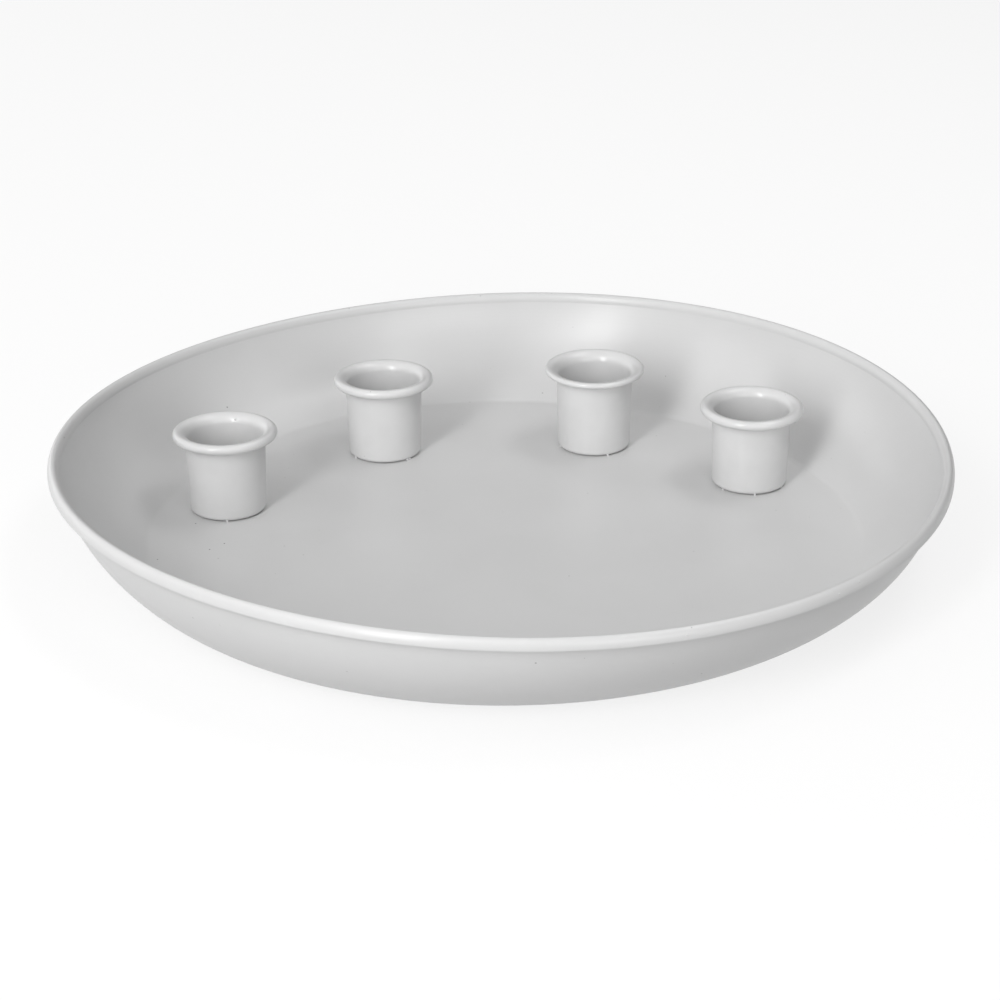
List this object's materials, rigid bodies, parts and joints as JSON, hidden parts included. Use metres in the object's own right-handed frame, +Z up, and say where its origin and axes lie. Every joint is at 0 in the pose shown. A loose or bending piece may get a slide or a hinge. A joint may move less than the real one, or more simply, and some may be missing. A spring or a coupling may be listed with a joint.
{
  "type": "advent candle holder",
  "caption": "Round shallow painted steel tray with a curled rim; drawn cups riveted along a rear arc hold candles upright and leave the front floor free for decoration.",
  "frame": {"origin": "middle of the tray's underside, on the surface that it stands on", "axes": "+Z up, +Y straight back between the two middle cups, +X to the right as seen from the free front half"},
  "size_m": [0.27, 0.27, 0.0335],
  "materials": {
    "tray_paint": "satin light grey paint over pressed sheet steel",
    "cup_paint": "satin light grey paint over drawn sheet steel",
    "rivet_paint": "satin light grey paint over a steel rivet"
  },
  "bodies": {
    "root": {"tray_pan": "tray_paint", "candle_cup_1": "cup_paint", "candle_cup_2": "cup_paint", "candle_cup_3": "cup_paint", "candle_cup_4": "cup_paint", "cup_rivet_1": "rivet_paint", "cup_rivet_2": "rivet_paint", "cup_rivet_3": "rivet_paint", "cup_rivet_4": "rivet_paint"}
  },
  "joints": []
}
